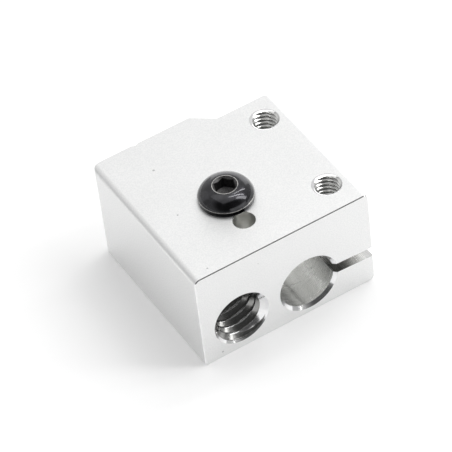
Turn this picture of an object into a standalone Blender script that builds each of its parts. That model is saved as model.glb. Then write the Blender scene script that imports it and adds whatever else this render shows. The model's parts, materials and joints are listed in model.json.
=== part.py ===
"""Heater block of a long hotend, with the screw that clamps its thermistor leads.

Metres, +Z up. The origin is the middle of the block's underside. Both bores run along Y: the melt
bore on the left (-X), and the heater bore on the right, opened to the right side by a clamp slot.
"""

import math

import bmesh
import bpy

MM = 0.001

# Bar stock
WIDTH = 20.0 * MM
DEPTH = 20.0 * MM
HEIGHT = 12.0 * MM
TOP_LEFT_RADIUS = 0.65 * MM
TOP_RIGHT_RADIUS = 0.55 * MM
BOTTOM_RIGHT_RADIUS = 0.7 * MM
BOTTOM_LEFT_RADIUS = 0.3 * MM
BACK_CORNER_RADIUS = 1.0 * MM

# Raised seat behind the melt bore; the rest of the back face is cut lower, up to a slanted step
SEAT_RISE = 1.8 * MM
SEAT_WIDTH = 11.5 * MM
STEP_WIDTH = 2.25 * MM

# Bores along Y, placed from the left side and the underside
BORE_HEIGHT = 4.05 * MM
MELT_BORE_FROM_LEFT = 4.6 * MM
MELT_BORE_RADIUS = 3.0 * MM
MELT_CHAMFER = 0.2 * MM
HEATER_BORE_FROM_LEFT = 12.45 * MM
HEATER_BORE_RADIUS = 3.05 * MM
HEATER_CHAMFER = 0.3 * MM

# Clamp slot, sawn from the right side into the heater bore and sloping slightly down to the right
SLOT_THICKNESS = 1.2 * MM
SLOT_SLOPE = math.radians(3.0)
SLOT_MIDDLE_FROM_LEFT = 17.7 * MM

# Vertical holes, placed from the left side and the front face
CLAMP_HOLES_FROM_LEFT = 17.5 * MM
CLAMP_HOLES_FROM_FRONT = (3.55 * MM, 15.1 * MM)
CLAMP_THREAD_RADIUS = 1.5 * MM
CLAMP_CLEARANCE_RADIUS = 1.65 * MM
CLAMP_CHAMFER = 0.1 * MM
SENSOR_FROM_LEFT = 8.35 * MM
SENSOR_FROM_FRONT = 4.3 * MM
SENSOR_RADIUS = 1.15 * MM
SENSOR_DEPTH = 4.5 * MM
SCREW_FROM_LEFT = 8.65 * MM
SCREW_FROM_FRONT = 8.1 * MM
SCREW_HOLE_RADIUS = 1.5 * MM
SCREW_HOLE_DEPTH = 4.8 * MM
SCREW_HOLE_CHAMFER = 0.15 * MM
DRILL_POINT = math.radians(118.0)

# Button-head screw, M3 x 4, head on the top face
SEAT_GAP = 0.02 * MM
HEAD_RADIUS = 2.85 * MM
HEAD_RIM = 0.42 * MM
HEAD_HEIGHT = 1.65 * MM
SOCKET_MOUTH_RADIUS = 1.36 * MM
SOCKET_ACROSS_FLATS = 2.0 * MM
COUNTERSINK_END_RADIUS = 0.9 * MM
SOCKET_DEPTH = 1.05 * MM
SHANK_RADIUS = 1.45 * MM
SHANK_LENGTH = 4.0 * MM
TIP_CHAMFER = 0.3 * MM

# Finish of the mesh
ROUND_STEPS = 64
SMALL_STEPS = 40
FILLET_STEPS = 6
DOME_STEPS = 8
OVERSHOOT = 0.5 * MM
MERGE = 0.0005 * MM
SMOOTH_ANGLE = math.radians(35.0)

LEFT = -WIDTH / 2
FRONT = -DEPTH / 2


def new_collection(name):
    collection = bpy.data.collections.new(name)
    bpy.context.scene.collection.children.link(collection)
    return collection


def clear_scene():
    for old in list(bpy.data.objects):
        bpy.data.objects.remove(old, do_unlink=True)


def new_material(name, colour, metallic, roughness):
    material = bpy.data.materials.new(name)
    material.use_nodes = True
    shader = material.node_tree.nodes["Principled BSDF"]
    shader.inputs["Base Color"].default_value = (*colour, 1.0)
    shader.inputs["Metallic"].default_value = metallic
    shader.inputs["Roughness"].default_value = roughness
    material.diffuse_color = (*colour, 1.0)
    return material


def new_object(name, mesh, collection):
    thing = bpy.data.objects.new(name, mesh)
    collection.objects.link(thing)
    return thing


def arc(centre, radius, start, end, steps):
    """Points on an arc, its angles in degrees."""
    points = []
    for step in range(steps + 1):
        angle = math.radians(start + (end - start) * step / steps)
        points.append((centre[0] + radius * math.cos(angle), centre[1] + radius * math.sin(angle)))
    return points


def prism(name, outline, length, collection):
    """A flat outline drawn as a 2D curve, extruded by half its length each way, made a mesh."""
    curve = bpy.data.curves.new(name, "CURVE")
    curve.dimensions = "2D"
    curve.fill_mode = "BOTH"
    curve.extrude = length / 2
    spline = curve.splines.new("POLY")
    spline.points.add(len(outline) - 1)
    for point, (u, v) in zip(spline.points, outline):
        point.co = (u, v, 0.0, 1.0)
    spline.use_cyclic_u = True
    drawn = new_object(name + "_outline", curve, collection)
    bpy.context.view_layer.update()
    evaluated = drawn.evaluated_get(bpy.context.evaluated_depsgraph_get())
    mesh = bpy.data.meshes.new_from_object(evaluated)
    shape = bmesh.new()
    shape.from_mesh(mesh)
    bmesh.ops.remove_doubles(shape, verts=shape.verts, dist=MERGE)
    bmesh.ops.recalc_face_normals(shape, faces=shape.faces)
    shape.to_mesh(mesh)
    shape.free()
    mesh.shade_smooth()
    mesh.set_sharp_from_angle(angle=SMOOTH_ANGLE)
    solid = new_object(name, mesh, collection)
    solid.matrix_world = drawn.matrix_world
    bpy.data.objects.remove(drawn, do_unlink=True)
    return solid


def turned(name, profile, steps, collection):
    """A solid of revolution about Z. The profile of (radius, height) pairs runs top to bottom."""
    mesh = bpy.data.meshes.new(name)
    edges = [(i, i + 1) for i in range(len(profile) - 1)]
    mesh.from_pydata([(radius, 0.0, height) for radius, height in profile], edges, [])
    solid = new_object(name, mesh, collection)
    spin = solid.modifiers.new("spin", "SCREW")
    spin.axis = "Z"
    spin.steps = steps
    spin.render_steps = steps
    spin.use_merge_vertices = True
    spin.merge_threshold = MERGE
    return solid


def boolean(target, cutter, operation):
    cutter.hide_render = True
    cutter.display_type = "WIRE"
    change = target.modifiers.new(cutter.name, "BOOLEAN")
    change.operation = operation
    change.solver = "EXACT"
    change.object = cutter


def flare(radius, chamfer, height, outward):
    """The two ends of a 45 degree chamfer at a face, from past the face to the hole's wall."""
    outer = (radius + chamfer + OVERSHOOT, height + outward * OVERSHOOT)
    inner = (radius, height - outward * chamfer)
    return [outer, inner] if outward > 0 else [inner, outer]


def blind_profile(radius, chamfer, depth):
    """A drilled hole below Z = 0, with a chamfered mouth and the drill's point at its end."""
    point = radius / math.tan(DRILL_POINT / 2)
    wall = [(radius, -depth), (0.0, -depth - point)]
    return [(0.0, OVERSHOOT)] + flare(radius, chamfer, 0.0, 1) + wall


def through_profile(radius, chamfer, length):
    """A hole from Z = 0 down to Z = -length, chamfered at both mouths."""
    mouths = flare(radius, chamfer, 0.0, 1) + flare(radius, chamfer, -length, -1)
    return [(0.0, OVERSHOOT)] + mouths + [(0.0, -length - OVERSHOOT)]


def section_outline():
    """The bar's rounded section, seen from the front: X to the right, Z up."""
    right = WIDTH / 2
    top = HEIGHT
    corners = (
        ((LEFT, 0.0), BOTTOM_LEFT_RADIUS, 180.0),
        ((right, 0.0), BOTTOM_RIGHT_RADIUS, 270.0),
        ((right, top), TOP_RIGHT_RADIUS, 0.0),
        ((LEFT, top), TOP_LEFT_RADIUS, 90.0),
    )
    outline = []
    for (x, z), radius, start in corners:
        centre = (x - math.copysign(radius, x), z + (radius if z == 0.0 else -radius))
        outline += arc(centre, radius, start, start + 90.0, FILLET_STEPS)
    return outline


def plan_outline():
    """The block seen from above, with its raised seat and slanted step at the back."""
    right = WIDTH / 2
    back = DEPTH / 2
    low = back - SEAT_RISE
    radius = BACK_CORNER_RADIUS
    outline = [(LEFT, FRONT), (right, FRONT)]
    outline += arc((right - radius, low - radius), radius, 0.0, 90.0, FILLET_STEPS)
    outline += [(LEFT + SEAT_WIDTH + STEP_WIDTH, low), (LEFT + SEAT_WIDTH, back)]
    outline += arc((LEFT + radius, back - radius), radius, 90.0, 180.0, FILLET_STEPS)
    return outline


def bore_cutter(name, from_left, radius, chamfer, cutters):
    """A through bore along Y, its first mouth in the front face."""
    cutter = turned(name, through_profile(radius, chamfer, DEPTH), ROUND_STEPS, cutters)
    cutter.location = (LEFT + from_left, FRONT, BORE_HEIGHT)
    cutter.rotation_euler = (math.radians(90.0), 0.0, 0.0)
    return cutter


def clamp_hole_cutter(name, from_front, cutters):
    """Threaded above the slot, and a wider clearance hole below it."""
    slot = BORE_HEIGHT - HEIGHT
    profile = [(0.0, OVERSHOOT)]
    profile += flare(CLAMP_THREAD_RADIUS, CLAMP_CHAMFER, 0.0, 1)
    profile += [(CLAMP_THREAD_RADIUS, slot), (CLAMP_CLEARANCE_RADIUS, slot)]
    profile += flare(CLAMP_CLEARANCE_RADIUS, CLAMP_CHAMFER, -HEIGHT, -1)
    profile += [(0.0, -HEIGHT - OVERSHOOT)]
    cutter = turned(name, profile, SMALL_STEPS, cutters)
    cutter.location = (LEFT + CLAMP_HOLES_FROM_LEFT, FRONT + from_front, HEIGHT)
    return cutter


def slot_cutter(cutters):
    """A sloping slab from the heater bore's axis to past the right side."""
    reach = WIDTH - HEATER_BORE_FROM_LEFT + OVERSHOOT
    mesh = bpy.data.meshes.new("clamp_slot")
    shape = bmesh.new()
    bmesh.ops.create_cube(shape, size=1.0)
    bmesh.ops.scale(shape, vec=(reach, DEPTH + 2 * OVERSHOOT, SLOT_THICKNESS), verts=shape.verts)
    inner_end = HEATER_BORE_FROM_LEFT - SLOT_MIDDLE_FROM_LEFT
    bmesh.ops.translate(shape, vec=(inner_end + reach / 2, 0.0, 0.0), verts=shape.verts)
    shape.to_mesh(mesh)
    shape.free()
    cutter = new_object("clamp_slot", mesh, cutters)
    cutter.location = (LEFT + SLOT_MIDDLE_FROM_LEFT, 0.0, BORE_HEIGHT)
    cutter.rotation_euler = (0.0, SLOT_SLOPE, 0.0)
    return cutter


def make_block(parts, cutters):
    block = prism("heater_block", plan_outline(), HEIGHT, parts)
    block.location = (0.0, 0.0, HEIGHT / 2)
    section = prism("bar_section", section_outline(), DEPTH + 2 * OVERSHOOT, cutters)
    section.rotation_euler = (math.radians(90.0), 0.0, 0.0)
    boolean(block, section, "INTERSECT")

    melt = bore_cutter("melt_bore", MELT_BORE_FROM_LEFT, MELT_BORE_RADIUS, MELT_CHAMFER, cutters)
    heater = bore_cutter(
        "heater_bore", HEATER_BORE_FROM_LEFT, HEATER_BORE_RADIUS, HEATER_CHAMFER, cutters
    )
    sensor_profile = blind_profile(SENSOR_RADIUS, 0.0, SENSOR_DEPTH)
    sensor = turned("sensor_hole", sensor_profile, SMALL_STEPS, cutters)
    sensor.location = (LEFT + SENSOR_FROM_LEFT, FRONT + SENSOR_FROM_FRONT, HEIGHT)
    screw_profile = blind_profile(SCREW_HOLE_RADIUS, SCREW_HOLE_CHAMFER, SCREW_HOLE_DEPTH)
    screw_hole = turned("screw_hole", screw_profile, SMALL_STEPS, cutters)
    screw_hole.location = (LEFT + SCREW_FROM_LEFT, FRONT + SCREW_FROM_FRONT, HEIGHT)
    holes = [melt, heater, sensor, screw_hole]
    for number, from_front in enumerate(CLAMP_HOLES_FROM_FRONT, start=1):
        holes.append(clamp_hole_cutter(f"clamp_hole_{number}", from_front, cutters))
    for hole in holes + [slot_cutter(cutters)]:
        boolean(block, hole, "DIFFERENCE")
    return block


def screw_profile_points():
    """The head's dome and rim, the shank and its chamfered tip, from the top down."""
    drop = (HEAD_RADIUS**2 - SOCKET_MOUTH_RADIUS**2 + HEAD_RIM**2 - HEAD_HEIGHT**2) / 2
    centre = drop / (HEAD_RIM - HEAD_HEIGHT)
    dome_radius = math.hypot(HEAD_RADIUS, HEAD_RIM - centre)
    start = math.degrees(math.atan2(HEAD_HEIGHT - centre, SOCKET_MOUTH_RADIUS))
    end = math.degrees(math.atan2(HEAD_RIM - centre, HEAD_RADIUS))
    tip = -SHANK_LENGTH
    profile = [(0.0, HEAD_HEIGHT)] + arc((0.0, centre), dome_radius, start, end, DOME_STEPS)
    profile += [(HEAD_RADIUS, 0.0), (SHANK_RADIUS, 0.0), (SHANK_RADIUS, tip + TIP_CHAMFER)]
    return profile + [(SHANK_RADIUS - TIP_CHAMFER, tip), (0.0, tip)]


def socket_cutter(cutters):
    """The hexagon of the socket; its corners' radius follows from the width across flats."""
    length = SOCKET_DEPTH + OVERSHOOT
    corner_radius = SOCKET_ACROSS_FLATS / math.sqrt(3.0)
    mesh = bpy.data.meshes.new("socket")
    shape = bmesh.new()
    bmesh.ops.create_cone(
        shape, cap_ends=True, segments=6, radius1=corner_radius, radius2=corner_radius, depth=length
    )
    shape.to_mesh(mesh)
    shape.free()
    cutter = new_object("socket", mesh, cutters)
    cutter.location = (0.0, 0.0, HEAD_HEIGHT - SOCKET_DEPTH + length / 2)
    return cutter


def make_screw(parts, cutters):
    screw = turned("thermistor_screw", screw_profile_points(), SMALL_STEPS, parts)
    screw.location = (LEFT + SCREW_FROM_LEFT, FRONT + SCREW_FROM_FRONT, HEIGHT + SEAT_GAP)
    hexagon = socket_cutter(cutters)
    hexagon.parent = screw
    end = (COUNTERSINK_END_RADIUS, COUNTERSINK_END_RADIUS - SOCKET_MOUTH_RADIUS)
    cone = [(0.0, OVERSHOOT), (SOCKET_MOUTH_RADIUS + OVERSHOOT, OVERSHOOT), end, (0.0, end[1])]
    countersink = turned("socket_countersink", cone, SMALL_STEPS, cutters)
    countersink.location = (0.0, 0.0, HEAD_HEIGHT)
    countersink.parent = screw
    boolean(screw, countersink, "DIFFERENCE")
    boolean(screw, hexagon, "DIFFERENCE")
    return screw


def main():
    clear_scene()
    parts = new_collection("heater_block_assembly")
    cutters = new_collection("cutters")
    base = new_object("assembly_origin", None, parts)
    block = make_block(parts, cutters)
    screw = make_screw(parts, cutters)
    aluminium = new_material("machined_aluminium", (0.80, 0.80, 0.79), 1.0, 0.42)
    black_steel = new_material("black_oxide_steel", (0.025, 0.025, 0.03), 1.0, 0.3)
    for thing, material in ((block, aluminium), (screw, black_steel)):
        thing.data.materials.append(material)
        thing.parent = base


main()
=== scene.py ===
"""Looks of a hotend's heater block and the screw that clamps its thermistor.

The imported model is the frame, in metres, +Z up. The block and the screw are built again here with
their threads, chamfers and tool marks, each in the place of its CAD node.
"""

import json
import math

import bmesh
import bpy
from mathutils import Matrix, Quaternion, Vector


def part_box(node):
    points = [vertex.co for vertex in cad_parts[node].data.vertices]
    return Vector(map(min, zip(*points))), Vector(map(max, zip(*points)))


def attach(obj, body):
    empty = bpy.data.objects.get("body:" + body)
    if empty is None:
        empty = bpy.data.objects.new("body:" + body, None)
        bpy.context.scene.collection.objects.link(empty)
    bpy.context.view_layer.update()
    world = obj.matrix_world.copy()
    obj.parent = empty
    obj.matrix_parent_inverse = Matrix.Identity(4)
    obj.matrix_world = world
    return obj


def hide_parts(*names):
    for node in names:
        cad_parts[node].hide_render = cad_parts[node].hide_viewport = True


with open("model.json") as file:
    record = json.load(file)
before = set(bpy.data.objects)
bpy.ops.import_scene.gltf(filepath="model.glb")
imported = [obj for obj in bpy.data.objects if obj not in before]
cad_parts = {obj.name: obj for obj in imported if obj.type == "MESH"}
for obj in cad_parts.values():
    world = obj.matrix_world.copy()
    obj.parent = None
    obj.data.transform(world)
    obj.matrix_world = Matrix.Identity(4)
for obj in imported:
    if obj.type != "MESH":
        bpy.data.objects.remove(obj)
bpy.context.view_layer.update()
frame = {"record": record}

MM = 0.001

# The block's corners and the screw's, from the frame
(LEFT, FRONT, UNDERSIDE), (RIGHT, BACK, TOP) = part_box("heater_block")
SCREW_LOW, SCREW_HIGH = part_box("thermistor_screw")

# Bar stock
TOP_LEFT_RADIUS = 0.65 * MM
TOP_RIGHT_RADIUS = 0.55 * MM
BOTTOM_RIGHT_RADIUS = 0.7 * MM
BOTTOM_LEFT_RADIUS = 0.3 * MM
BACK_CORNER_RADIUS = 1.0 * MM
EDGE_BREAK = 0.08 * MM

# Raised seat behind the melt bore, with a slanted step beside it
SEAT_RISE = 1.8 * MM
SEAT_WIDTH = 11.5 * MM
STEP_WIDTH = 2.25 * MM

# A knock in the seat's top edge, struck from the back and from above in these shares
KNOCK_FROM_LEFT = 5.1 * MM
KNOCK_WIDTH = 0.9 * MM
KNOCK_DEPTH = 0.2 * MM
KNOCK_BACK = 0.8
KNOCK_UP = 0.6

# Bores along Y
MELT_PITCH = 1.0 * MM
MELT_MAJOR_RADIUS = 3.0 * MM
MELT_MINOR_RADIUS = 2.44 * MM
MELT_MOUTH_RADIUS = 3.12 * MM
MELT_MOUTH_REACH = 0.2 * MM
MELT_ROUNDING = 0.06 * MM
HEATER_BORE_RADIUS = 3.05 * MM
HEATER_MOUTH_RADIUS = 3.37 * MM

# Clamp slot, from the heater bore out through the right side
SLOT_THICKNESS = 1.2 * MM
SLOT_SLOPE = math.radians(3.0)
SLOT_MIDDLE_FROM_LEFT = 17.7 * MM
# Painted shade on the slot's walls from the first of these distances in, painted light from the second
# out to the right side
SLOT_SHADED_FROM_RIGHT = 4.0 * MM
SLOT_LIT_FROM_RIGHT = 1.2 * MM

# Vertical holes, placed from the left side and the front face
SMALL_PITCH = 0.5 * MM
SMALL_MAJOR_RADIUS = 1.5 * MM
SMALL_MINOR_RADIUS = 1.25 * MM
SMALL_CREST_RADIUS = SMALL_MINOR_RADIUS - 0.03 * MM
SMALL_ROUNDING = 0.03 * MM
CLAMP_HOLES_FROM_LEFT = 17.5 * MM
CLAMP_HOLES_FROM_FRONT = (3.55 * MM, 15.1 * MM)
CLAMP_MOUTH_RADIUS = 1.56 * MM
CLAMP_CLEARANCE_RADIUS = 1.65 * MM
CLAMP_FOOT_RADIUS = CLAMP_CLEARANCE_RADIUS + 0.1 * MM
SENSOR_FROM_LEFT = 8.35 * MM
SENSOR_FROM_FRONT = 4.3 * MM
SENSOR_RADIUS = 1.15 * MM
SENSOR_MOUTH_RADIUS = SENSOR_RADIUS + 0.04 * MM
SENSOR_DEPTH = 4.5 * MM
SCREW_HOLE_DEPTH = 4.8 * MM
SCREW_HOLE_MOUTH_RADIUS = 1.65 * MM
DRILL_POINT = math.radians(118.0)
DEBURR_POINT = math.radians(140.0)

# Button-head screw
HEAD_RIM = 0.42 * MM
DOME_RADIUS = 1.7 * MM
SEAT_GAP = 0.02 * MM
RIM_ROUNDING = 0.035 * MM
SOCKET_MOUTH_RADIUS = 1.32 * MM
SOCKET_LIP = 0.075 * MM
SOCKET_ACROSS_FLATS = 2.0 * MM
SOCKET_TURN = math.radians(12.0)
COUNTERSINK_END_RADIUS = 0.9 * MM
SOCKET_DEPTH = 1.35 * MM
SOCKET_POINT_RISE = 0.1 * MM
SHANK_MAJOR_RADIUS = 1.46 * MM
SHANK_MINOR_RADIUS = 1.17 * MM
SHANK_ROUNDING = 0.02 * MM
TIP_CHAMFER = 0.3 * MM

# Fineness of the meshes
BORE_STEPS = 96
HOLE_STEPS = 64
FILLET_STEPS = 12
DOME_STEPS = 40
# Dome steps next to the brow that take the worn finish, which also carries a painted highlight
WORN_AND_HIGHLIGHT_STEPS = 2
BROW_STEPS = 4
OVERSHOOT = 0.5 * MM
SMOOTH_ANGLE = math.radians(36.0)

# A rounded crease of a thread, in shares of its rounding: along the flat, and off the corner
CREASE_ALONG = 0.6
CREASE_OFF = 0.4

# The block's finishes, then the screw's, each in the order of its material slots
SATIN, BRIGHT_CUT, REAMED, DRILLED, SHADED_TAPPED, SAWN, FINE_TAPPED = range(7)
OXIDE, WORN_OXIDE_AND_HIGHLIGHT, SOCKET = range(3)


def centre_of_opening(name):
    """X and Z of a bore along Y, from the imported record's box for it."""
    openings = {opening["name"]: opening for opening in frame["record"]["physics"]["openings"]}
    low, high = openings[name]["box_m"]
    return (low[0] + high[0]) / 2, (low[2] + high[2]) / 2


MELT_BORE = centre_of_opening("melt_bore")
HEATER_BORE = centre_of_opening("heater_bore")
SCREW_AXIS = ((SCREW_LOW.x + SCREW_HIGH.x) / 2, (SCREW_LOW.y + SCREW_HIGH.y) / 2)
HEAD_RADIUS = (SCREW_HIGH.x - SCREW_LOW.x) / 2
HEAD_HEIGHT = SCREW_HIGH.z - TOP - SEAT_GAP
SHANK_LENGTH = TOP + SEAT_GAP - SCREW_LOW.z


# ---------------------------------------------------------------- mesh tools


def arc(centre, radius, start, end, steps):
    """Points on an arc, its angles in degrees."""
    points = []
    for step in range(steps + 1):
        angle = math.radians(start + (end - start) * step / steps)
        points.append((centre[0] + radius * math.cos(angle), centre[1] + radius * math.sin(angle)))
    return points


def finished_object(name, shape):
    """An object from a closed bmesh, its faces pointing out."""
    bmesh.ops.recalc_face_normals(shape, faces=shape.faces)
    for face in shape.faces:
        face.smooth = True
    mesh = bpy.data.meshes.new(name)
    shape.to_mesh(mesh)
    shape.free()
    thing = bpy.data.objects.new(name, mesh)
    bpy.context.scene.collection.objects.link(thing)
    return thing


def loft(name, outlines, heights, place, finishes, end_finish=SATIN):
    """Like outlines joined at their heights; place turns (u, v, height) into a point.

    finishes has one finish for each wall between two outlines.
    """
    shape = bmesh.new()
    rings = []
    for outline, height in zip(outlines, heights):
        rings.append([shape.verts.new(place(u, v, height)) for u, v in outline])
    for end in (rings[0], rings[-1]):
        shape.faces.new(end).material_index = end_finish
    count = len(outlines[0])
    for one, other, finish in zip(rings, rings[1:], finishes):
        for i in range(count):
            j = (i + 1) % count
            shape.faces.new((one[i], one[j], other[j], other[i])).material_index = finish
    return finished_object(name, shape)


def prism(name, outline, place, low, high, finish):
    """A loft of one outline, in one finish."""
    return loft(name, (outline, outline), (low, high), place, (finish,), finish)


def turned(name, profile, steps):
    """A solid of revolution about Z.

    profile lists (radius, height, finish) and starts and ends on the axis; finish is that of the
    wall from there to the next point.
    """
    shape = bmesh.new()
    rings = []
    for radius, height, finish in profile:
        angles = [2 * math.pi * step / steps for step in range(steps if radius else 1)]
        points = [(radius * math.cos(angle), radius * math.sin(angle), height) for angle in angles]
        rings.append([shape.verts.new(point) for point in points])
    for (radius, height, finish), one, other in zip(profile, rings, rings[1:]):
        for i in range(steps):
            j = (i + 1) % steps
            corners = [ring[k % len(ring)] for ring, k in ((one, i), (one, j), (other, j), (other, i))]
            shape.faces.new(list(dict.fromkeys(corners))).material_index = finish
    return finished_object(name, shape)


def helix(name, ridge, pitch, low, high, steps):
    """A right-handed screw-shaped solid about Z, its thread in step with Z = 0.

    ridge lists (radius, height, finish) over one pitch, from the height 0 up.
    """
    first = math.floor(low / pitch) * steps
    last = math.ceil(high / pitch) * steps
    shape = bmesh.new()
    rows = []
    for step in range(first, last + steps + 1):
        angle = 2 * math.pi * step / steps
        rise = pitch * step / steps
        used = ridge if step <= last else ridge[:1]
        points = [(r * math.cos(angle), r * math.sin(angle), rise + h) for r, h, _ in used]
        rows.append([shape.verts.new(point) for point in points])
    count = last - first
    for i in range(count):
        edge_a = rows[i] + rows[i + steps][:1]
        edge_b = rows[i + 1] + rows[i + 1 + steps][:1]
        for j, (_, _, finish) in enumerate(ridge):
            corners = (edge_a[j], edge_b[j], edge_b[j + 1], edge_a[j + 1])
            shape.faces.new(corners).material_index = finish
    for start, reach in ((0, -1), (count, 1)):
        loop = [rows[start + i][0] for i in range(steps + 1)] + rows[start][:0:-1]
        heights = [vertex.co.z for vertex in loop]
        tip = (min(heights) if reach < 0 else max(heights)) + reach * pitch
        centre = shape.verts.new((0.0, 0.0, tip))
        for one, other in zip(loop, loop[1:] + loop[:1]):
            shape.faces.new((one, other, centre))
    return finished_object(name, shape)


def thread_ridge(root_radius, crest_radius, pitch, root_flat, rounding, flank_finish, crest_finish):
    """One pitch of a 60 degree thread for helix(): the flat at root_radius is root_flat wide."""
    flank = abs(crest_radius - root_radius) * math.tan(math.radians(30.0))
    edge = root_flat / 2
    bend = math.copysign(rounding, crest_radius - root_radius) * CREASE_OFF
    far = edge + flank
    soft = rounding * CREASE_ALONG
    near = soft * CREASE_OFF
    return [
        (root_radius, -edge + soft, flank_finish),
        (root_radius, edge - soft, flank_finish),
        (root_radius + bend, edge + near, flank_finish),
        (crest_radius - bend, far - near, crest_finish),
        (crest_radius, far + soft, crest_finish),
        (crest_radius, pitch - far - soft, crest_finish),
        (crest_radius - bend, pitch - far + near, flank_finish),
        (root_radius + bend, pitch - edge - near, flank_finish),
    ]


def apply_modifiers(thing):
    """Makes what the modifiers show the object's own mesh."""
    bpy.context.view_layer.update()
    evaluated = thing.evaluated_get(bpy.context.evaluated_depsgraph_get())
    result = bpy.data.meshes.new_from_object(evaluated)
    thing.modifiers.clear()
    thing.data = result


def combine(target, tool, operation="DIFFERENCE"):
    """Cuts target with tool, or joins them, for good, and removes the tool."""
    change = target.modifiers.new(tool.name, "BOOLEAN")
    change.operation = operation
    change.solver = "EXACT"
    change.object = tool
    apply_modifiers(target)
    bpy.data.objects.remove(tool, do_unlink=True)


def shade(thing):
    """Smooth shading that keeps flat faces flat up to their edges."""
    thing.data.set_sharp_from_angle(angle=SMOOTH_ANGLE)
    weighting = thing.modifiers.new("weighting", "WEIGHTED_NORMAL")
    weighting.keep_sharp = True
    apply_modifiers(thing)


def chamfer(mouth_radius, radius, height, outward, point=math.radians(90.0)):
    """The two ends of a conical mouth at a face: past the face, then at radius."""
    slope = 1.0 / math.tan(point / 2)
    outer = (mouth_radius + OVERSHOOT, height + outward * OVERSHOOT * slope)
    inner = (radius, height - outward * (mouth_radius - radius) * slope)
    return outer, inner


def to_y_axis(tool, centre, start):
    """Lays a tool made about Z along +Y, from start."""
    tool.rotation_euler = (math.radians(-90.0), 0.0, 0.0)
    tool.location = (centre[0], start, centre[1])


# ---------------------------------------------------------------- the block


def section_outline(inset):
    """The bar's rounded section, seen from the front: X to the right, Z up."""
    corners = (
        (LEFT, UNDERSIDE, BOTTOM_LEFT_RADIUS, 180.0),
        (RIGHT, UNDERSIDE, BOTTOM_RIGHT_RADIUS, 270.0),
        (RIGHT, TOP, TOP_RIGHT_RADIUS, 0.0),
        (LEFT, TOP, TOP_LEFT_RADIUS, 90.0),
    )
    outline = []
    for x, z, radius, start in corners:
        centre = (x - math.copysign(radius, x), z + (radius if z == UNDERSIDE else -radius))
        outline += arc(centre, radius - inset, start, start + 90.0, FILLET_STEPS)
    return outline


def plan_outline(inset):
    """The block seen from above, with its raised seat and slanted step at the back."""
    low = BACK - SEAT_RISE
    radius = BACK_CORNER_RADIUS
    slant = math.atan2(STEP_WIDTH, SEAT_RISE)
    shift = inset * (1 - math.sin(slant)) / math.cos(slant)
    step = LEFT + SEAT_WIDTH - shift
    outline = [(LEFT - OVERSHOOT, FRONT - OVERSHOOT), (RIGHT + OVERSHOOT, FRONT - OVERSHOOT)]
    outline += [(RIGHT + OVERSHOOT, low - radius)]
    outline += arc((RIGHT - radius, low - radius), radius - inset, 0.0, 90.0, FILLET_STEPS)
    outline += [(step + STEP_WIDTH, low - inset), (step, BACK - inset)]
    outline += arc((LEFT + radius, BACK - radius), radius - inset, 90.0, 180.0, FILLET_STEPS)
    return outline + [(LEFT - OVERSHOOT, BACK - radius)]


def front_blank():
    """The bar's length, its front edge broken at 45 degrees."""
    outlines = [section_outline(inset) for inset in (EDGE_BREAK, 0.0, 0.0)]
    heights = (FRONT, FRONT + EDGE_BREAK, BACK + OVERSHOOT)
    finishes = (BRIGHT_CUT, SATIN)
    return loft("heater_block_body", outlines, heights, lambda u, v, w: (u, w, v), finishes)


def plan_blank():
    """What the block's plan leaves of the bar, its edges broken at the back."""
    outlines = [plan_outline(inset) for inset in (EDGE_BREAK, 0.0, 0.0, EDGE_BREAK)]
    heights = (UNDERSIDE, UNDERSIDE + EDGE_BREAK, TOP - EDGE_BREAK, TOP)
    finishes = (BRIGHT_CUT, SATIN, BRIGHT_CUT)
    return loft("plan", outlines, heights, lambda u, v, w: (u, v, w), finishes)


def slot_tool():
    """A sloping slab from the heater bore's axis to past the right side."""
    half = SLOT_THICKNESS / 2
    middle = LEFT + SLOT_MIDDLE_FROM_LEFT
    slope = math.tan(SLOT_SLOPE)
    outline = []
    ends = (HEATER_BORE[0], RIGHT + OVERSHOOT)
    for x in ends:
        outline.append((x, HEATER_BORE[1] + (middle - x) * slope - half))
    for x in reversed(ends):
        outline.append((x, HEATER_BORE[1] + (middle - x) * slope + half))
    low = FRONT - OVERSHOOT
    high = BACK + OVERSHOOT
    return prism("slot", outline, lambda u, v, w: (u, w, v), low, high, SAWN)


def blank():
    """The block before its holes are made."""
    block = front_blank()
    combine(block, plan_blank(), "INTERSECT")
    combine(block, slot_tool())
    return block


def cut_melt_bore(block):
    """The M6 thread right through, then a countersink at each end."""
    length = BACK - FRONT
    flat = MELT_PITCH / 8
    ridge = thread_ridge(
        MELT_MAJOR_RADIUS, MELT_MINOR_RADIUS, MELT_PITCH, flat, MELT_ROUNDING, SHADED_TAPPED, BRIGHT_CUT
    )
    thread = helix("melt_thread", ridge, MELT_PITCH, -MELT_PITCH, length + MELT_PITCH, BORE_STEPS)
    to_y_axis(thread, MELT_BORE, FRONT)
    combine(block, thread)
    core = MELT_MINOR_RADIUS - MELT_MOUTH_REACH
    for start, outward in ((FRONT, -1), (BACK, 1)):
        outer, inner = chamfer(MELT_MOUTH_RADIUS, core, 0.0, outward)
        profile = [
            (0.0, outer[1], BRIGHT_CUT),
            (*outer, BRIGHT_CUT),
            (*inner, BRIGHT_CUT),
            (0.0, inner[1], BRIGHT_CUT),
        ]
        mouth = turned("melt_mouth", profile, BORE_STEPS)
        to_y_axis(mouth, MELT_BORE, start)
        combine(block, mouth)


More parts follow.
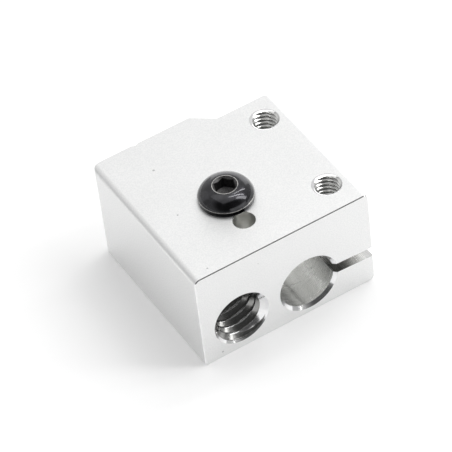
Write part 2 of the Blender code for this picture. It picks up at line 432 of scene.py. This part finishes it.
def cut_heater_bore(block):
    """The reamed bore right through block and seat, with a chamfer at each end."""
    length = BACK - FRONT
    front_outer, front_inner = chamfer(HEATER_MOUTH_RADIUS, HEATER_BORE_RADIUS, 0.0, -1)
    back_outer, back_inner = chamfer(HEATER_MOUTH_RADIUS, HEATER_BORE_RADIUS, length, 1)
    profile = [
        (0.0, front_outer[1], BRIGHT_CUT),
        (*front_outer, BRIGHT_CUT),
        (*front_inner, REAMED),
        (*back_inner, BRIGHT_CUT),
        (*back_outer, BRIGHT_CUT),
        (0.0, back_outer[1], BRIGHT_CUT),
    ]
    bore = turned("heater_bore", profile, BORE_STEPS)
    to_y_axis(bore, HEATER_BORE, FRONT)
    combine(block, bore)


def blind_hole(name, radius, mouth_radius, depth):
    """A drilled hole below Z = 0, with a chamfered mouth and the drill's point at its end."""
    outer, inner = chamfer(mouth_radius, radius, 0.0, 1, DEBURR_POINT)
    profile = [
        (0.0, outer[1], BRIGHT_CUT),
        (*outer, BRIGHT_CUT),
        (*inner, DRILLED),
        (radius, -depth, DRILLED),
        (0.0, -depth - radius / math.tan(DRILL_POINT / 2), DRILLED),
    ]
    return turned(name, profile, HOLE_STEPS)


def small_thread(name, low, high):
    """The M3 thread that is cut into a hole, in step with the block's top face."""
    radii = (SMALL_MAJOR_RADIUS, SMALL_CREST_RADIUS)
    flat = SMALL_PITCH / 7
    ridge = thread_ridge(*radii, SMALL_PITCH, flat, SMALL_ROUNDING, FINE_TAPPED, BRIGHT_CUT)
    return helix(name, ridge, SMALL_PITCH, low, high, HOLE_STEPS)


def cut_clamp_hole(block, from_front):
    """Tapped above the slot, and a clearance hole below it."""
    slot = HEATER_BORE[1] - TOP
    outer, inner = chamfer(CLAMP_MOUTH_RADIUS, SMALL_MINOR_RADIUS, 0.0, 1, DEBURR_POINT)
    tapped_part = [
        (0.0, outer[1], BRIGHT_CUT),
        (*outer, BRIGHT_CUT),
        (*inner, DRILLED),
        (SMALL_MINOR_RADIUS, slot, DRILLED),
        (0.0, slot, DRILLED),
    ]
    outer, inner = chamfer(CLAMP_FOOT_RADIUS, CLAMP_CLEARANCE_RADIUS, UNDERSIDE - TOP, -1)
    clearance_part = [
        (0.0, slot, DRILLED),
        (CLAMP_CLEARANCE_RADIUS, slot, DRILLED),
        (*inner, BRIGHT_CUT),
        (*outer, BRIGHT_CUT),
        (0.0, outer[1], BRIGHT_CUT),
    ]
    hole = turned("clamp_drilled", tapped_part, HOLE_STEPS)
    clearance = turned("clamp_clearance", clearance_part, HOLE_STEPS)
    thread = small_thread("clamp_thread", slot, 0.0)
    for tool in (hole, clearance, thread):
        tool.location = (LEFT + CLAMP_HOLES_FROM_LEFT, FRONT + from_front, TOP)
        combine(block, tool)


def cut_screw_hole(block):
    """The blind tapped hole under the screw."""
    radii = (SMALL_MINOR_RADIUS, SCREW_HOLE_MOUTH_RADIUS)
    hole = blind_hole("screw_drilled", *radii, SCREW_HOLE_DEPTH)
    thread = small_thread("screw_hole_thread", -SCREW_HOLE_DEPTH + SMALL_PITCH, 0.0)
    for tool in (hole, thread):
        tool.location = (*SCREW_AXIS, TOP)
        combine(block, tool)


def cut_sensor_hole(block):
    """The blind, plain hole for the thermistor's bead."""
    hole = blind_hole("sensor_hole", SENSOR_RADIUS, SENSOR_MOUTH_RADIUS, SENSOR_DEPTH)
    hole.location = (LEFT + SENSOR_FROM_LEFT, FRONT + SENSOR_FROM_FRONT, TOP)
    combine(block, hole)


def cut_knock(block):
    """A shallow knock across the seat's top edge."""
    radius = ((KNOCK_WIDTH / 2) ** 2 + KNOCK_DEPTH**2) / (2 * KNOCK_DEPTH)
    shape = bmesh.new()
    bmesh.ops.create_uvsphere(shape, u_segments=24, v_segments=16, radius=radius)
    tool = finished_object("knock", shape)
    lift = radius - KNOCK_DEPTH
    tool.location = (LEFT + KNOCK_FROM_LEFT, BACK + lift * KNOCK_BACK, TOP + lift * KNOCK_UP)
    combine(block, tool)


def make_block():
    """The whole block, its faces marked with their finishes."""
    block = blank()
    cut_knock(block)
    cut_heater_bore(block)
    cut_melt_bore(block)
    cut_sensor_hole(block)
    cut_screw_hole(block)
    for from_front in CLAMP_HOLES_FROM_FRONT:
        cut_clamp_hole(block, from_front)
    shade(block)
    return block


# ---------------------------------------------------------------- the screw


def head_profile():
    """The button head, top down: its lip, dome, brow, rounded foot and bearing face; the lip and the
    brow are worn to bare steel, partly real wear and partly a painted highlight.
    """
    lip = Vector((SOCKET_MOUTH_RADIUS, HEAD_HEIGHT))
    rim = Vector((HEAD_RADIUS, HEAD_RIM))
    chord = rim - lip
    across = Vector((-chord.y, chord.x)).normalized()
    centre = (lip + rim) / 2 - across * math.sqrt(DOME_RADIUS**2 - (chord.length / 2) ** 2)
    start = math.degrees(math.atan2(lip.y - centre.y, lip.x - centre.x))
    end = math.degrees(math.atan2(rim.y - centre.y, rim.x - centre.x))
    turn = math.degrees(RIM_ROUNDING / DOME_RADIUS)
    dome = arc(centre, DOME_RADIUS, start, end + turn, DOME_STEPS)
    brow_height = dome[-1][1] - RIM_ROUNDING * math.sin(math.radians(end))
    brow = arc((HEAD_RADIUS - RIM_ROUNDING, brow_height), RIM_ROUNDING, end, 0.0, BROW_STEPS)
    foot = arc((HEAD_RADIUS - RIM_ROUNDING, RIM_ROUNDING), RIM_ROUNDING, 0.0, -90.0, BROW_STEPS)
    profile = [(0.0, HEAD_HEIGHT, WORN_OXIDE_AND_HIGHLIGHT)]
    profile += [(r, z, OXIDE) for r, z in dome[:-WORN_AND_HIGHLIGHT_STEPS]]
    profile += [(r, z, WORN_OXIDE_AND_HIGHLIGHT) for r, z in dome[-WORN_AND_HIGHLIGHT_STEPS:] + brow[:-1]]
    profile += [(r, z, OXIDE) for r, z in brow[-1:] + foot]
    return profile + [(0.0, 0.0, OXIDE)]


def shank():
    """The threaded shank, in step with the thread of the block's hole."""
    radii = (SHANK_MAJOR_RADIUS, SHANK_MINOR_RADIUS)
    ridge = thread_ridge(*radii, SMALL_PITCH, SMALL_PITCH / 8, SHANK_ROUNDING, OXIDE, OXIDE)
    low = -SHANK_LENGTH
    start = low - SMALL_PITCH
    thread = helix("thermistor_screw_body", ridge, SMALL_PITCH, start, SMALL_PITCH, HOLE_STEPS)
    thread.location = (*SCREW_AXIS, TOP)
    tip = SHANK_MAJOR_RADIUS - TIP_CHAMFER
    profile = [
        (0.0, low, OXIDE),
        (tip, low, OXIDE),
        (SHANK_MAJOR_RADIUS + OVERSHOOT, low + TIP_CHAMFER + OVERSHOOT, OXIDE),
        (SHANK_MAJOR_RADIUS + OVERSHOOT, HEAD_RIM / 2, OXIDE),
        (0.0, HEAD_RIM / 2, OXIDE),
    ]
    envelope = turned("envelope", profile, HOLE_STEPS)
    envelope.location = (*SCREW_AXIS, TOP + SEAT_GAP)
    combine(thread, envelope, "INTERSECT")
    return thread


def socket_tools():
    """The socket's countersink, and its hexagon with a drilled floor."""
    mouth = SOCKET_MOUTH_RADIUS - SOCKET_LIP
    drop = mouth - COUNTERSINK_END_RADIUS
    countersink = [
        (0.0, HEAD_HEIGHT + OVERSHOOT, SOCKET),
        (mouth + OVERSHOOT, HEAD_HEIGHT + OVERSHOOT, SOCKET),
        (COUNTERSINK_END_RADIUS, HEAD_HEIGHT - drop, SOCKET),
        (0.0, HEAD_HEIGHT - drop, SOCKET),
    ]
    floor = HEAD_HEIGHT - SOCKET_DEPTH
    apothem = SOCKET_ACROSS_FLATS / 2
    corner = apothem / math.cos(math.radians(30.0))
    first = math.degrees(SOCKET_TURN)
    hexagon = arc((0.0, 0.0), corner, first, first + 300.0, 5)
    key = prism("key", hexagon, lambda u, v, w: (u, v, w), floor, HEAD_HEIGHT + OVERSHOOT, SOCKET)
    point = [
        (0.0, floor + SOCKET_POINT_RISE, SOCKET),
        (apothem, floor + SOCKET_POINT_RISE, SOCKET),
        (apothem, floor, SOCKET),
        (0.0, floor - apothem / math.tan(DRILL_POINT / 2), SOCKET),
    ]
    return key, turned("countersink", countersink, BORE_STEPS), turned("point", point, HOLE_STEPS)


def make_screw():
    """The whole screw, its faces marked with their finishes."""
    screw = shank()
    head = turned("head", head_profile(), BORE_STEPS)
    head.location = (*SCREW_AXIS, TOP + SEAT_GAP)
    combine(screw, head, "UNION")
    for tool in socket_tools():
        tool.location = (*SCREW_AXIS, TOP + SEAT_GAP)
        combine(screw, tool)
    screw.data.transform(screw.matrix_world)
    screw.location = (0.0, 0.0, 0.0)
    shade(screw)
    return screw


# ---------------------------------------------------------------- materials

# What a noise mostly stays within
NOISE_RANGE = (0.35, 0.65)


def node(tree, kind, sockets=None, **settings):
    """A new node; sockets gives values, or the outputs of other nodes, to its inputs."""
    new = tree.nodes.new(kind)
    for name, value in settings.items():
        setattr(new, name, value)
    for key, value in (sockets or {}).items():
        if isinstance(value, bpy.types.NodeSocket):
            tree.links.new(value, new.inputs[key])
        else:
            new.inputs[key].default_value = value
    return new


def maths(tree, operation, first, second):
    return node(tree, "ShaderNodeMath", {0: first, 1: second}, operation=operation).outputs[0]


def average(tree, one, other):
    return maths(tree, "MULTIPLY", maths(tree, "ADD", one, other), 0.5)


def spread(tree, value, low, high, to_low=0.0, to_high=1.0):
    """Maps low..high onto to_low..to_high with soft ends."""
    sockets = {"Value": value, "From Min": low, "From Max": high}
    sockets.update({"To Min": to_low, "To Max": to_high})
    mapped = node(tree, "ShaderNodeMapRange", sockets, interpolation_type="SMOOTHSTEP")
    return mapped.outputs["Result"]


def blend(tree, share, one, other):
    """A share of the way from one colour to the other; 6 and 7 are the mix's colour inputs."""
    mix = node(tree, "ShaderNodeMix", {"Factor": share}, data_type="RGBA")
    for index, colour in ((6, one), (7, other)):
        if isinstance(colour, bpy.types.NodeSocket):
            tree.links.new(colour, mix.inputs[index])
        else:
            mix.inputs[index].default_value = (*colour, 1.0)
    return mix.outputs[2]


def tint(tree, tone, dark, light):
    """A colour that goes from dark to light as a noise goes from low to high."""
    return blend(tree, spread(tree, tone, *NOISE_RANGE), dark, light)


def cloud(tree, place, size, detail=2.0):
    """Soft noise whose patches are about that size across."""
    sockets = {"Vector": place, "Scale": 1.0 / size, "Detail": detail}
    return node(tree, "ShaderNodeTexNoise", sockets).outputs["Fac"]


def specks(tree, place, spacing, size):
    """1 on scattered small spots, 0 elsewhere; only some of the cells hold one."""
    cells = node(tree, "ShaderNodeTexVoronoi", {"Vector": place, "Scale": 1.0 / spacing})
    chosen = node(tree, "ShaderNodeSeparateColor", {"Color": cells.outputs["Color"]}).outputs["Red"]
    reach = spread(tree, chosen, 0.55, 1.0, 0.0, size / spacing)
    inside = maths(tree, "SUBTRACT", reach, cells.outputs["Distance"])
    return spread(tree, inside, 0.0, 0.2 * size / spacing)


def stretched(tree, place, scale, centre=(0.0, 0.0, 0.0)):
    """The place, moved so that centre is the origin, then scaled along each axis."""
    moved = node(tree, "ShaderNodeVectorMath", {0: place, 1: centre}, operation="SUBTRACT")
    sockets = {0: moved.outputs[0], 1: scale}
    return node(tree, "ShaderNodeVectorMath", sockets, operation="MULTIPLY").outputs[0]


def new_metal(name):
    """A metal, with what its pattern is built from: the tree, the shader and the place on it."""
    material = bpy.data.materials.new(name)
    material.use_nodes = True
    tree = material.node_tree
    shader = tree.nodes["Principled BSDF"]
    shader.inputs["Metallic"].default_value = 1.0
    place = node(tree, "ShaderNodeTexCoord").outputs["Object"]
    return material, tree, shader, place


def set_surface(tree, shader, colour, roughness, height, depth):
    """Joins a colour, a roughness and a relief that is depth high to the shader."""
    bump = node(tree, "ShaderNodeBump", {"Strength": 1.0, "Distance": depth, "Height": height})
    tree.links.new(colour, shader.inputs["Base Color"])
    tree.links.new(roughness, shader.inputs["Roughness"])
    tree.links.new(bump.outputs["Normal"], shader.inputs["Normal"])


def satin():
    """Fine matt faces: grain, soft blotches and a few dark pits."""
    material, tree, shader, place = new_metal("satin_aluminium")
    grain = cloud(tree, place, 0.13 * MM, 3.0)
    blotch = cloud(tree, place, 4.0 * MM)
    pits = specks(tree, place, 1.3 * MM, 0.14 * MM)
    metal = blend(tree, spread(tree, grain, 0.3, 0.7), (0.79, 0.795, 0.795), (0.87, 0.87, 0.865))
    colour = blend(tree, maths(tree, "MULTIPLY", pits, 0.6), metal, (0.3, 0.3, 0.31))
    roughness = spread(tree, maths(tree, "ADD", grain, blotch), 0.6, 1.4, 0.41, 0.45)
    height = maths(tree, "SUBTRACT", grain, maths(tree, "MULTIPLY", pits, 2.0))
    set_surface(tree, shader, colour, roughness, height, 0.0025 * MM)
    return material


def bright_cut():
    """Chamfers, broken edges and thread crests: burnished, with fine chatter."""
    material, tree, shader, place = new_metal("bright_cut_aluminium")
    chatter = cloud(tree, place, 0.25 * MM)
    blotch = cloud(tree, place, 0.9 * MM)
    colour = tint(tree, blotch, (0.84, 0.84, 0.85), (0.92, 0.92, 0.92))
    roughness = spread(tree, chatter, 0.3, 0.7, 0.1, 0.18)
    set_surface(tree, shader, colour, roughness, chatter, 0.0005 * MM)
    return material


def lightened_reamed():
    """The heater bore's wall: fine rings from the reamer, and streaks that it dragged out; its colour
    is painted lighter than the satin faces', as painted light in the bore.
    """
    material, tree, shader, place = new_metal("reamed_aluminium_painted_light")
    shader.inputs["Metallic"].default_value = 0.8
    centre = (HEATER_BORE[0], 0.0, HEATER_BORE[1])
    rings = cloud(tree, stretched(tree, place, (0.03, 1.0, 0.03), centre), 0.22 * MM, 3.0)
    drag = cloud(tree, stretched(tree, place, (1.0, 0.05, 1.0), centre), 0.7 * MM)
    most = maths(tree, "MULTIPLY", rings, 0.6)
    tone = maths(tree, "ADD", most, maths(tree, "MULTIPLY", drag, 0.4))
    # Painted light: colours above the satin faces' to lighten the bore's wall
    colour = tint(tree, tone, (0.93, 0.935, 0.92), (0.99, 0.99, 0.98))
    roughness = spread(tree, tone, *NOISE_RANGE, 0.2, 0.28)
    set_surface(tree, shader, colour, roughness, rings, 0.004 * MM)
    return material


def lightened_drilled():
    """Plain drilled walls: duller, with coarse rings from the drill, their colour painted lighter than
    the satin faces' as painted light in the holes.
    """
    material, tree, shader, place = new_metal("drilled_aluminium_painted_light")
    rings = cloud(tree, stretched(tree, place, (0.05, 0.05, 1.0)), 0.2 * MM)
    blotch = cloud(tree, place, 0.8 * MM)
    tone = average(tree, rings, blotch)
    # Painted light: colours above the satin faces' to lighten the holes' walls
    colour = tint(tree, tone, (0.86, 0.86, 0.83), (0.95, 0.95, 0.93))
    roughness = spread(tree, tone, 0.3, 0.7, 0.3, 0.42)
    set_surface(tree, shader, colour, roughness, rings, 0.004 * MM)
    return material


def tapped(name, dark, light):
    """Thread flanks, torn a little by the tap."""
    material, tree, shader, place = new_metal(name)
    tear = cloud(tree, place, 0.2 * MM)
    blotch = cloud(tree, place, 1.2 * MM)
    colour = tint(tree, average(tree, tear, blotch), dark, light)
    roughness = spread(tree, tear, 0.3, 0.7, 0.16, 0.24)
    set_surface(tree, shader, colour, roughness, tear, 0.0006 * MM)
    return material


def sawn():
    """The slot's walls, scored along the saw's cut, with painted light near the right side and painted
    shade deeper inside.
    """
    material, tree, shader, place = new_metal("sawn_aluminium")
    scores = cloud(tree, stretched(tree, place, (1.0, 0.03, 1.0)), 0.15 * MM, 3.0)
    blotch = cloud(tree, place, 1.0 * MM)
    along = node(tree, "ShaderNodeSeparateXYZ", {"Vector": place}).outputs["X"]
    # Painted light where the slot opens on the right side, painted shade deeper in: the dark colour
    # stands in for the shade inside the slot
    painted_light_share = spread(tree, along, RIGHT - SLOT_SHADED_FROM_RIGHT, RIGHT - SLOT_LIT_FROM_RIGHT)
    painted_shade = tint(tree, average(tree, scores, blotch), (0.3, 0.3, 0.29), (0.42, 0.42, 0.41))
    colour = blend(tree, painted_light_share, painted_shade, (0.8, 0.8, 0.79))
    roughness = spread(tree, scores, 0.3, 0.7, 0.18, 0.28)
    set_surface(tree, shader, colour, roughness, scores, 0.0015 * MM)
    return material


def oxide():
    """Black oxide: soft smudges, fine grain and a few scuffs, with a film of oil on the dome; the
    head's side below it is darker and has no film, as painted shade under the brow.
    """
    material, tree, shader, place = new_metal("black_oxide")
    up = node(tree, "ShaderNodeSeparateXYZ", {"Vector": place}).outputs["Z"]
    dome = spread(tree, up, TOP + HEAD_RIM * 0.9, TOP + HEAD_RIM * 1.1)
    tree.links.new(dome, shader.inputs["Coat Weight"])
    shader.inputs["Coat Roughness"].default_value = 0.09
    smudge = cloud(tree, place, 0.9 * MM, 3.0)
    grain = cloud(tree, place, 0.14 * MM, 3.0)
    scuffs = specks(tree, place, 0.8 * MM, 0.12 * MM)
    film = tint(tree, smudge, (0.011, 0.011, 0.014), (0.028, 0.028, 0.033))
    # The side below the dome is painted darker than the dome, as painted shade under the brow
    shaded_side_colour = blend(tree, dome, (0.012, 0.012, 0.014), film)
    colour = blend(tree, maths(tree, "MULTIPLY", scuffs, 0.25), shaded_side_colour, (0.2, 0.19, 0.18))
    roughness = spread(tree, maths(tree, "ADD", smudge, grain), 0.7, 1.3, 0.16, 0.28)
    set_surface(tree, shader, colour, roughness, grain, 0.0015 * MM)
    return material


def worn_oxide_and_highlight():
    """The socket's lip and the brow above the rim: oxide worn through to steel, partly real wear and
    partly a painted highlight along these edges.
    """
    material, tree, shader, place = new_metal("worn_black_oxide_and_highlight")
    patches = cloud(tree, place, 0.35 * MM, 3.0)
    bare_and_highlight = spread(tree, patches, 0.3, 0.5)
    # Bare steel colour on the lip and brow: partly wear, partly a painted highlight along these edges
    colour = blend(tree, bare_and_highlight, (0.3, 0.3, 0.305), (0.6, 0.59, 0.57))
    roughness = spread(tree, patches, 0.3, 0.7, 0.2, 0.32)
    set_surface(tree, shader, colour, roughness, patches, 0.002 * MM)
    return material


def lightened_socket_oxide():
    """Inside the socket: dull oxide, painted lighter than the head's oxide, as painted light in the
    recess.
    """
    material, tree, shader, place = new_metal("lightened_socket_black_oxide")
    grain = cloud(tree, place, 0.15 * MM, 3.0)
    # Painted light: the socket's colour is raised well above the head's oxide so that the recess shows
    # lighter
    colour = tint(tree, grain, (0.09, 0.088, 0.09), (0.16, 0.157, 0.157))
    roughness = spread(tree, grain, 0.3, 0.7, 0.4, 0.55)
    set_surface(tree, shader, colour, roughness, grain, 0.002 * MM)
    return material


# ---------------------------------------------------------------- the studio

CAMERA_AZIMUTH = -26.33
CAMERA_ELEVATION = 45.37
CAMERA_ROLL = -7.49
CAMERA_DISTANCE = 325.5 * MM
CAMERA_AIM = Vector((-0.87, -0.02, 6.0)) * MM
CAMERA_LENS = 259.06
SENSOR_WIDTH = 36.0

FLOOR_HALF_SIZE = 3.0
FLOOR_GLOW = 0.2
ROOM_LIGHT = 0.43
DARK_SIDE_LIGHT = 0.08
DARK_SIDE = (-0.31, -0.70, 0.64)
BACK_LIGHT = 0.29
BACK_SIDE = (0.31, 0.63, 0.71)


def direction(azimuth, elevation):
    """From the block towards a place at that azimuth (0 is in front of it, 90 to its right)."""
    a = math.radians(azimuth)
    e = math.radians(elevation)
    return Vector((math.sin(a) * math.cos(e), -math.cos(a) * math.cos(e), math.sin(e)))


def add_camera():
    data = bpy.data.cameras.new("camera")
    data.lens = CAMERA_LENS
    data.sensor_width = SENSOR_WIDTH
    camera = bpy.data.objects.new("camera", data)
    bpy.context.scene.collection.objects.link(camera)
    back = direction(CAMERA_AZIMUTH, CAMERA_ELEVATION)
    camera.location = CAMERA_AIM + back * CAMERA_DISTANCE
    camera.rotation_mode = "QUATERNION"
    roll = Quaternion((0.0, 0.0, 1.0), math.radians(CAMERA_ROLL))
    camera.rotation_quaternion = (-back).to_track_quat("-Z", "Y") @ roll
    bpy.context.scene.camera = camera


def add_softbox(name, place, size, radiance, along=(1.0, 0.0, 0.0)):
    """A rectangular light that faces the block, its first side along the given direction."""
    data = bpy.data.lights.new(name, "AREA")
    data.shape = "RECTANGLE"
    data.size, data.size_y = size
    data.energy = radiance * math.pi * size[0] * size[1]
    light = bpy.data.objects.new(name, data)
    bpy.context.scene.collection.objects.link(light)
    light.location = place
    back = Vector(place).normalized()
    side = Vector(along)
    side = (side - back * side.dot(back)).normalized()
    light.rotation_mode = "QUATERNION"
    light.rotation_quaternion = Matrix((side, back.cross(side), back)).transposed().to_quaternion()


def add_lights():
    add_softbox("tube_front", (0.26, -0.035, 0.50), (0.46, 0.028), 11.0, (1.0, -0.55, 0.0))
    add_softbox("tube_back", (0.36, 0.12, 0.50), (0.36, 0.025), 13.0, (1.0, -0.15, 0.0))
    add_softbox("overhead", (0.0, 0.03, 0.55), (0.56, 0.56), 0.58)
    add_softbox("front_right", (0.32, -0.22, 0.36), (0.42, 0.11), 4.5, (1.0, -0.6, 0.0))
    add_softbox("front_low", (0.15, -0.60, 0.12), (0.8, 0.2), 0.9)
    add_softbox("back_right", (0.36, 0.42, 0.16), (0.6, 0.3), 1.0, (1.0, -0.85, 0.0))
    add_softbox("back_left", (-0.34, 0.43, 0.25), (0.34, 0.44), 0.24, (1.0, 0.8, 0.0))


def add_floor():
    """A white light table: pale, and faintly lit from below so that shadows stay soft."""
    shape = bmesh.new()
    bmesh.ops.create_grid(shape, x_segments=1, y_segments=1, size=FLOOR_HALF_SIZE)
    floor = finished_object("floor", shape)
    floor.location.z = UNDERSIDE
    material = bpy.data.materials.new("white_paper")
    material.use_nodes = True
    shader = material.node_tree.nodes["Principled BSDF"]
    shader.inputs["Base Color"].default_value = (0.92, 0.92, 0.92, 1.0)
    shader.inputs["Roughness"].default_value = 0.8
    shader.inputs["Emission Strength"].default_value = FLOOR_GLOW
    floor.data.materials.append(material)


def add_world():
    """An even room that is darker on one side and lighter on the other."""
    world = bpy.data.worlds.new("studio")
    bpy.context.scene.world = world
    world.use_nodes = True
    tree = world.node_tree
    seen = node(tree, "ShaderNodeTexCoord").outputs["Generated"]
    to_dark = node(tree, "ShaderNodeVectorMath", {0: seen, 1: DARK_SIDE}, operation="DOT_PRODUCT")
    room = spread(tree, to_dark.outputs["Value"], 0.45, 0.9, ROOM_LIGHT, DARK_SIDE_LIGHT)
    to_back = node(tree, "ShaderNodeVectorMath", {0: seen, 1: BACK_SIDE}, operation="DOT_PRODUCT")
    back = spread(tree, to_back.outputs["Value"], 0.3, 0.9, 0.0, BACK_LIGHT)
    tree.links.new(maths(tree, "ADD", room, back), tree.nodes["Background"].inputs["Strength"])
    tree.nodes["Background"].inputs["Color"].default_value = (1.0, 1.0, 1.0, 1.0)


# ---------------------------------------------------------------- assembly

block = make_block()
# The melt bore's thread flanks are painted dark, as painted shade for the shade deep in the threaded
# bore; the fine threads keep a lighter copy
shaded_coarse_thread = tapped("tapped_aluminium", (0.3, 0.3, 0.29), (0.38, 0.38, 0.37))
fine_thread = tapped("fine_tapped_aluminium", (0.66, 0.66, 0.65), (0.76, 0.76, 0.75))
for material in (satin(), bright_cut(), lightened_reamed(), lightened_drilled(), shaded_coarse_thread, sawn(), fine_thread):
    block.data.materials.append(material)
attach(block, "block")
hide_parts("heater_block")

screw = make_screw()
for material in (oxide(), worn_oxide_and_highlight(), lightened_socket_oxide()):
    screw.data.materials.append(material)
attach(screw, "screw")
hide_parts("thermistor_screw")

add_floor()
add_world()
add_lights()
add_camera()
bpy.context.scene.view_settings.view_transform = "Standard"
